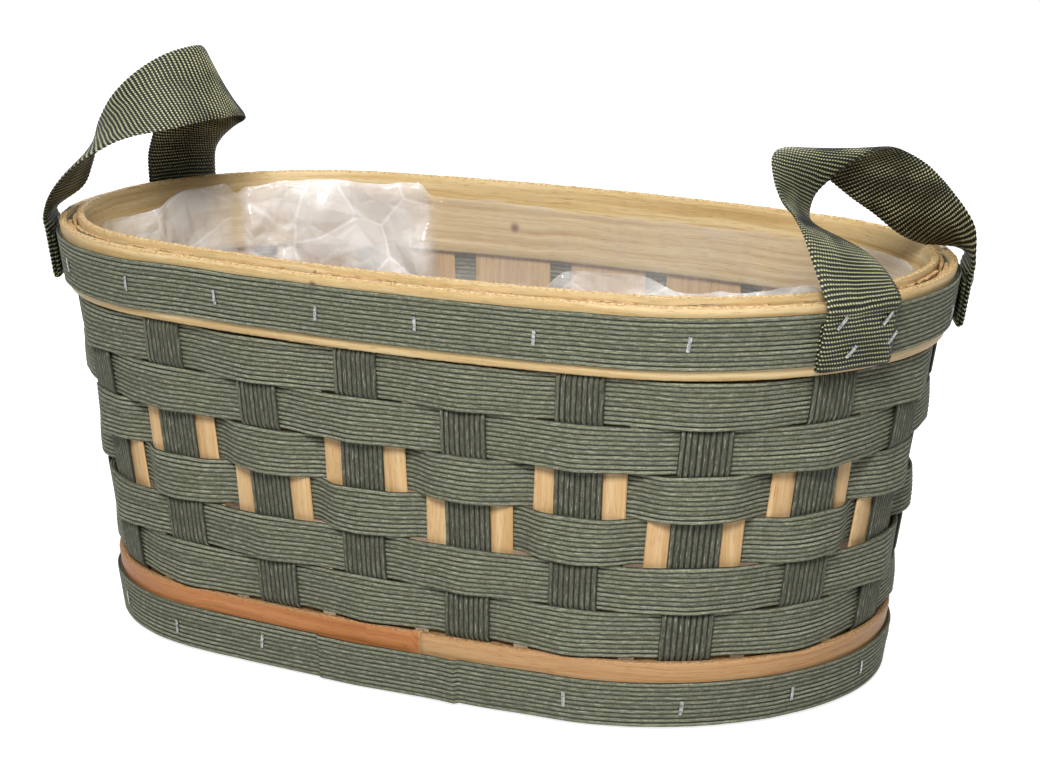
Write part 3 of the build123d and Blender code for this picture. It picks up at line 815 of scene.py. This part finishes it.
# places along each loop in mm, front to back, then the way that the webbing's width points
loopPlaces = {
    "right": (
        (158.7, -41.0, 157.4, 0.48, 0.86, -0.16), (151.7, -37.2, 163.5, 0.33, 0.90, -0.27),
        (144.0, -32.2, 166.5, 0.12, 0.94, -0.33), (136.5, -27.2, 168.7, -0.06, 0.93, -0.37),
        (131.0, -23.0, 170.9, -0.08, 0.92, -0.38), (127.6, -18.5, 174.5, 0.00, 0.92, -0.39),
        (125.8, -13.5, 178.8, 0.13, 0.93, -0.36), (126.5, -9.0, 183.0, 0.36, 0.88, -0.30),
        (128.6, -4.5, 186.3, 0.60, 0.78, -0.20), (131.0, 0.5, 187.7, 0.83, 0.55, -0.08),
        (133.0, 5.5, 187.3, 0.93, 0.36, 0.07), (136.2, 10.7, 184.9, 0.95, 0.17, 0.26),
        (139.6, 16.7, 180.8, 0.92, 0.11, 0.38), (144.2, 23.3, 175.3, 0.88, 0.06, 0.47),
        (148.4, 29.6, 169.6, 0.86, -0.08, 0.50), (152.8, 36.0, 163.0, 0.77, -0.25, 0.59),
        (157.4, 40.3, 158.0, 0.74, -0.42, 0.53), (161.2, 43.0, 154.2, 0.73, -0.59, 0.34),
    ),
    "left": (
        (-159.0, -44.5, 155.5, -0.20, 0.97, 0.02), (-154.5, -44.0, 163.0, -0.22, 0.96, 0.08),
        (-151.5, -40.5, 170.0, -0.40, 0.90, 0.10), (-149.3, -34.0, 176.2, -0.68, 0.72, 0.13),
        (-144.3, -29.0, 182.2, -0.78, 0.53, 0.32), (-138.7, -23.1, 186.5, -0.77, 0.34, 0.53),
        (-133.5, -16.3, 190.0, -0.69, 0.18, 0.70), (-129.1, -8.2, 192.6, -0.57, 0.07, 0.82),
        (-126.3, 0.9, 193.5, -0.48, 0.02, 0.88), (-126.7, 9.1, 193.1, -0.49, 0.00, 0.87),
        (-129.9, 15.4, 191.3, -0.58, -0.08, 0.80), (-135.1, 20.8, 187.8, -0.67, -0.25, 0.69),
        (-141.9, 25.4, 182.6, -0.70, -0.46, 0.54), (-149.1, 29.0, 177.0, -0.67, -0.64, 0.36),
        (-155.5, 32.2, 170.9, -0.59, -0.78, 0.20), (-161.5, 35.3, 164.4, -0.50, -0.86, 0.08),
        (-165.9, 38.1, 157.8, -0.45, -0.89, 0.02),
    ),
}


def tabStations(share, loopWay):
    # the folded tab, from the end of the inner layer round the fold and up to the rim
    layer = handle["thick"]
    outer = handle["tabOut"] - layer / 2
    inner = outer - layer - handle["layerGap"]
    spots = [(handle["foldTop"], inner), (134 * mm, inner), (128 * mm, inner),
             (126.5 * mm, inner + 0.1 * mm), (handle["tabBottom"], (inner + outer) / 2),
             (126.5 * mm, outer - 0.1 * mm), (129 * mm, outer), (136 * mm, outer), (143 * mm, outer),
             (basket["rimTop"] - 2 * mm, outer)]
    ahead, behind = [onWall(share + step, basket["rimTop"], 0) for step in (0.01, -0.01)]
    side = (ahead - behind).normalized()
    # the webbing's width points the same way here as where the loop begins
    if side.dot(loopWay) < 0:
        side = -side
    return [(onWall(share, height, out), side) for height, out in spots]


def handleStations(side):
    front, back = handle["tabs"][side]
    loop = []
    for x, y, z, out, along, up in loopPlaces[side]:
        loop.append((Vector((x, y, z)) * mm, Vector((out, along, up)).normalized()))
    ends = [tabStations(front, loop[0][1]), tabStations(back, loop[-1][1])]
    return ends[0] + loop + ends[1][::-1]


def alongStations(stations, stepLength, parts=12):
    # evenly spaced points on a smooth curve through the stations, and its length
    dense = []
    for index in range(len(stations) - 1):
        around = [stations[min(max(index + shift, 0), len(stations) - 1)] for shift in (-1, 0, 1, 2)]
        for part in range(parts):
            t = part / parts
            mix = ((-t + 2 * t * t - t**3) / 2, (2 - 5 * t * t + 3 * t**3) / 2,
                   (t + 4 * t * t - 3 * t**3) / 2, (t**3 - t * t) / 2)
            spot = sum((weight * station[0] for weight, station in zip(mix, around)), Vector())
            way = sum((weight * station[1] for weight, station in zip(mix, around)), Vector())
            dense.append((spot, way.normalized()))
    dense.append(stations[-1])
    lengths = [0]
    for (first, _), (second, _) in zip(dense, dense[1:]):
        lengths.append(lengths[-1] + (second - first).length)
    count = round(lengths[-1] / stepLength)
    points, place = [], 0
    for step in range(count + 1):
        target = lengths[-1] * step / count
        while place < len(lengths) - 2 and lengths[place + 1] < target:
            place += 1
        part = (target - lengths[place]) / max(lengths[place + 1] - lengths[place], 1e-9)
        (spot, way), (nextSpot, nextWay) = dense[place], dense[place + 1]
        points.append((spot.lerp(nextSpot, part), way.lerp(nextWay, part).normalized()))
    return points, lengths[-1]


def makeHandle(side):
    points, length = alongStations(handleStations(side), webbing["ribPitch"] / handle["stepsToRib"])
    steps = len(points) - 1
    width, thick = handle["width"], handle["thick"]
    ways = []
    for index, (_, way) in enumerate(points):
        # the weave shears a little, so the ribs needn't lie square to the path
        path = (points[min(index + 1, steps)][0] - points[max(index - 1, 0)][0]).normalized()
        ways.append((way, path.cross(way).normalized()))

    def place(along, across):
        step = round(along * steps)
        spot, (way, face) = points[step][0], ways[step]
        rib = math.cos(2 * math.pi * step / handle["stepsToRib"])
        half = handle["pointsAcross"] // 2
        turn = round(across * handle["pointsAcross"])
        if turn <= half:
            sideways, surface = -1 + 2 * turn / half, 1
        else:
            sideways, surface = 1 - 2 * (turn - half) / half, -1
        edge = abs(sideways) > 0.999
        nearEdge = abs(sideways) > handle["edgeFrom"]
        # ribs stand up on both faces and make the edges toothed
        out = 0 if edge else surface * (thick / 2 + handle["ribRise"] * rib)
        if nearEdge and not edge:
            out *= handle["edgeThin"]
        reach = (width / 2 + (handle["tooth"] * rib if nearEdge else 0)) * sideways
        return spot + way * reach + face * out, (along * length, reach + (0.1 if surface < 0 else 0))

    strap = layOut(flatSheet(side + "_webbing", steps, handle["pointsAcross"]), place)
    print(side, "webbing", round(length * 1000), "mm long")
    return strap


# staples
staple = {
    "crown": 5.2 * mm, "wide": 1.2 * mm, "thick": 0.5 * mm, "leg": 2.2 * mm, "bow": 0.12 * mm, "cuts": 5,
    "bandOut": 6.95 * mm,  # middle of a crown on the tape bands
    "tabStand": 0.1 * mm,  # middle of a crown over the webbing's face
    "tabBulge": 0.6 * mm, "bulgeFrom": 140,  # the webbing bulges above this height in mm
}
# the seen ones: share of the girth, height in mm, slant in degrees
rimStaples = [(0.888, 135, 2), (0.937, 135.5, -3), (0.987, 135, 4), (0.032, 135.5, -2), (0.082, 135, 3),
              (0.140, 136, 6), (0.271, 133, -4), (0.745, 134, 3), (0.842, 135, -4)]
footStaples = [(0.890, 8, 3), (0.942, 10, 10), (0.985, 10, -4), (0.047, 11, 0), (0.101, 9, -3),
               (0.150, 8, 4), (0.199, 9, 0), (0.243, 10, -6)]
tabStaples = [(0.192, 142, 38), (0.211, 141.5, 42), (0.215, 134.5, 40), (0.198, 131.5, 44),
              (0.290, 141, -35), (0.306, 134, -38), (0.791, 142, 38), (0.806, 134, -40), (0.697, 141, 30),
              (0.714, 133, -35)]


def hiddenStaples(count, first, height, slant):
    # a row round the back, one on each slat and a little uneven
    return [(first + place / basket["stakes"], height + random.uniform(-1, 1), random.uniform(-slant, slant))
            for place in range(count)]


def oneStaple(name):
    # a crown with two legs
    bpy.ops.object.select_all(action="DESELECT")
    bpy.ops.mesh.primitive_cube_add(size=1, location=(0, 0, 0))
    wire = bpy.context.object
    wire.name = name
    for vertex in wire.data.vertices:
        x, y, z = vertex.co
        vertex.co = (x * staple["wide"], y * staple["crown"], z * staple["thick"])
    bpy.ops.object.mode_set(mode="EDIT")
    bpy.ops.mesh.subdivide(number_cuts=staple["cuts"])
    bpy.ops.mesh.select_all(action="DESELECT")
    bpy.ops.object.mode_set(mode="OBJECT")
    for face in wire.data.polygons:
        face.select = face.normal.z < -0.9 and abs(face.center.y) > staple["crown"] * 0.4
    bpy.ops.object.mode_set(mode="EDIT")
    bpy.ops.mesh.extrude_region_move(TRANSFORM_OT_translate={"value": (0, 0, -staple["leg"])})
    bpy.ops.object.mode_set(mode="OBJECT")
    for vertex in wire.data.vertices:
        # the crown is bowed up a little in the middle
        vertex.co.z += staple["bow"] * (1 - (vertex.co.y / (staple["crown"] / 2)) ** 2)
    wire.select_set(False)
    return wire


def setStaple(model, share, height, out, slant):
    # a copy on the wall there, turned by slant from upright
    copy = model.copy()
    copy.data = model.data.copy()
    bpy.context.collection.objects.link(copy)
    centre = onWall(share, height, out)
    along = (onWall(share + 0.004, height, out) - onWall(share - 0.004, height, out)).normalized()
    up = (onWall(share, height + 5 * mm, out) - onWall(share, height - 5 * mm, out)).normalized()
    face = along.cross(up).normalized()
    tilt = math.radians(slant)
    crown = up * math.cos(tilt) + along * math.sin(tilt)
    side = crown.cross(face)
    for vertex in copy.data.vertices:
        vertex.co = centre + side * vertex.co.x + crown * vertex.co.y + face * vertex.co.z
    return copy


# build
print("dressing the basket")
tapeFinish = paperCord("corded_paper_tape", cordPitch, "#686a55", "#888a74", "#b0b29a")
# painted shade: the upright strips take a darker copy of the same tape, standing in for the light they miss
stripShadedFinish = paperCord("corded_paper_strip_painted_shade", cordPitch, "#4c4d3f", "#636453", "#80816e")
hoopGirth = girthAt(basket["hoopTop"])
# knots as place along, place up and size
hoopFinish = veneer("poplar_veneer_hoop", "#cfba90", "#c0a676", "#aa8853", "#986a35",
                    knots=((hoopGirth * 0.985, 21.2 * mm, 2.2 * mm), (hoopGirth * 0.548, 18 * mm, 2.6 * mm)))
slatFinish = veneer("poplar_veneer_slat", "#c8ab80", "#bc9a6c", "#ad8859", "#96683a")
footFinish = veneer("birch_veneer_foot", "#b8966c", "#ab865c", "#926b42", "#7c4c28",
                    drift=(footJoint, girthAt(footTop), "#f0c4a0"))
boardFinish = plyBoard("poplar_plywood")
webbingFinish = ribbedWebbing("ribbed_polypropylene_webbing")
filmFinish = clearFilm("clear_polypropylene_film")
steelFinish = brightSteel("galvanised_staple_wire")

for stake in range(basket["stakes"]):
    number = "_%02d" % (stake + 1)
    slat = makeSlat("wall_slat" + number, stake, slats["width"], slats["bottom"],
                    basket["hoopTop"] - slats["below"], 0, slats["rows"])
    dress(slat, slatFinish, "slat_wood", "slat" + number)
    dress(makeStrip(stake), stripShadedFinish, "paper_tape", "strip" + number)
ends = [makeSlat("packing_%02d" % stake, stake + 0.5, packing["width"], packing["bottom"], packing["top"],
                 packing["out"], packing["rows"]) for stake in packing["after"]]
dress(joinPieces("rim_packing_veneer", ends), slatFinish, "slat_wood")
print("slats and strips stand")

for row in range(basket["rows"]):
    dress(makeWeaver(row), tapeFinish, "paper_tape", "weaver_row_%d" % (row + 1))
print("weavers are in")

for name, finish, slot in (
        ("rim_hoop_outside", hoopFinish, "hoop_wood"), ("rim_hoop_inside", hoopFinish, "hoop_wood"),
        ("foot_hoop_outside", footFinish, "foot_wood"), ("foot_hoop_inside", footFinish, "foot_wood")):
    hoop, node = makeHoop(name)
    dress(hoop, finish, slot, node)
rimBand = makeBand("rim_band", rimTapeTop, tape["bandWidth"], tape["bandCords"], bands["rimSteps"])
dress(rimBand, tapeFinish, "paper_tape", "rim_tape")
footBand = makeBand("foot_band", footTapeTop, bands["footWidth"], bands["footCords"], bands["footSteps"],
                    lap=True)
dress(footBand, tapeFinish, "paper_tape", "base_tape")
print("hoops and bands are on")

film = dress(makeLiner(), filmFinish, "film", "liner")
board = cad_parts["base_board"]
board.data.materials.clear()
board.data.materials.append(boardFinish)
print("liner hangs inside")

for side in ("right", "left"):
    strap = makeHandle(side)
    dress(strap, webbingFinish, "webbing", side + "_handle_loop", side + "_handle_ends", body=None)
    x = handle["hinge"] if side == "right" else -handle["hinge"]
    low, high = [(x, 0, height) for height in handle["bend"]]
    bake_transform(strap)
    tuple(low)
    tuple(high)

model = oneStaple("staple_wire")
bandStaples = rimStaples + hiddenStaples(7, 0.36, 135, 6) + footStaples + hiddenStaples(12, 0.295, 9, 8)
wires = [setStaple(model, share, height * mm, staple["bandOut"], slant)
         for share, height, slant in bandStaples]
dress(joinPieces("band_staple_wires", wires), steelFinish, "staple_wire", "band_staples")
wires = []
for share, height, slant in tabStaples:
    # the webbing stays flat where the wall curves away from it, and bulges near the rim
    middle = min((tab for tabs in handle["tabs"].values() for tab in tabs), key=lambda tab: abs(tab - share))
    aside = (share - middle) * girthAt(height * mm)
    stand = staple["tabStand"] + aside**2 / (2 * basket["rimOval"][2])
    stand += staple["tabBulge"] if height > staple["bulgeFrom"] else 0
    wires.append(setStaple(model, share, height * mm, handle["tabOut"] + stand, slant))
dress(joinPieces("tab_staple_wires", wires), steelFinish, "staple_wire", "handle_staples")
bpy.data.objects.remove(model)
print("handles are stapled on")

# floor, light and camera
studio = {
    "floor": 12, "floorDrop": 0.2 * mm,  # size in metres, and how far it lies below the foot
    "paper": "#c4c4c4", "glow": 0.8,  # the floor's grey, and the white added to what is only seen
    "air": 0.17,  # strength of the light from all round, which is white where it is only seen
    "aim": (0, 0, 0.08),
    "lamps": {  # place, size in metres, watts
        "key": ((0.6, -1.42, 1.25), 0.5, 46.0),
        "top": ((0.1, 0.1, 1.7), 0.8, 15.0),
        "back": ((-0.7, 1.4, 1.3), 0.9, 9.0),
    },
}


def seenRays(tree):
    # 1 for what the camera sees, straight or in a gloss or through the film
    rays = addNode(tree, "LightPath").outputs
    indirect = addNode(tree, "Math",
                       {0: rays["Is Glossy Ray"], 1: rays["Is Transmission Ray"]}, operation="MAXIMUM")
    return addNode(tree, "Math", {0: rays["Is Camera Ray"], 1: indirect}, operation="MAXIMUM")


bpy.ops.object.select_all(action="DESELECT")
bpy.ops.mesh.primitive_plane_add(size=studio["floor"], location=(0, 0, -studio["floorDrop"]))
floor = bpy.context.object
floor.name = "studio_floor"
floorFinish, tree = newMaterial("white_paper_floor")
lift = addNode(tree, "Math", {0: seenRays(tree), 1: studio["glow"]}, operation="MULTIPLY")
glow = addNode(tree, "Emission", {"Strength": lift, "Color": linear("#ffffff")})
matt = addNode(tree, "BsdfDiffuse", {"Color": linear(studio["paper"])})
both = addNode(tree, "AddShader", {0: matt, 1: glow})
addNode(tree, "OutputMaterial", {"Surface": both})
floor.data.materials.append(floorFinish)

world = bpy.context.scene.world or bpy.data.worlds.new("studio_air")
bpy.context.scene.world = world
world.use_nodes = True
tree = world.node_tree
tree.nodes.clear()
level = addNode(tree, "MapRange", {"Value": seenRays(tree), "To Min": studio["air"], "To Max": 1.0})
sky = addNode(tree, "Background", {"Strength": level, "Color": linear("#ffffff")})
addNode(tree, "OutputWorld", {"Surface": sky})

for name, (spot, size, watts) in studio["lamps"].items():
    lamp = bpy.data.objects.new(name + "_lamp", bpy.data.lights.new(name + "_lamp", "AREA"))
    lamp.data.size = size
    lamp.data.energy = watts
    lamp.location = spot
    lamp.rotation_euler = (Vector(studio["aim"]) - Vector(spot)).to_track_quat("-Z", "Y").to_euler()
    bpy.context.collection.objects.link(lamp)

# degrees round from the front and up, metres away, the point it aims at, focal length and sensor in mm
lens = {
    "turn": 30, "height": 13.65, "away": 1.1, "aim": (7.4 * mm, 7.3 * mm, 88.4 * mm),
    "focus": 103.7, "sensor": 36,
}
camera = bpy.data.objects.new("studio_camera", bpy.data.cameras.new("studio_camera"))
turn, height = math.radians(lens["turn"]), math.radians(lens["height"])
back = Vector((math.sin(turn) * math.cos(height), -math.cos(turn) * math.cos(height), math.sin(height)))
camera.location = Vector(lens["aim"]) + back * lens["away"]
camera.rotation_euler = (-back).to_track_quat("-Z", "Y").to_euler()
camera.data.sensor_width = lens["sensor"]
camera.data.lens = lens["focus"]
camera.data.clip_start = 0.01
bpy.context.collection.objects.link(camera)
bpy.context.scene.camera = camera
bpy.context.scene.view_settings.view_transform = "Standard"

print("ready")
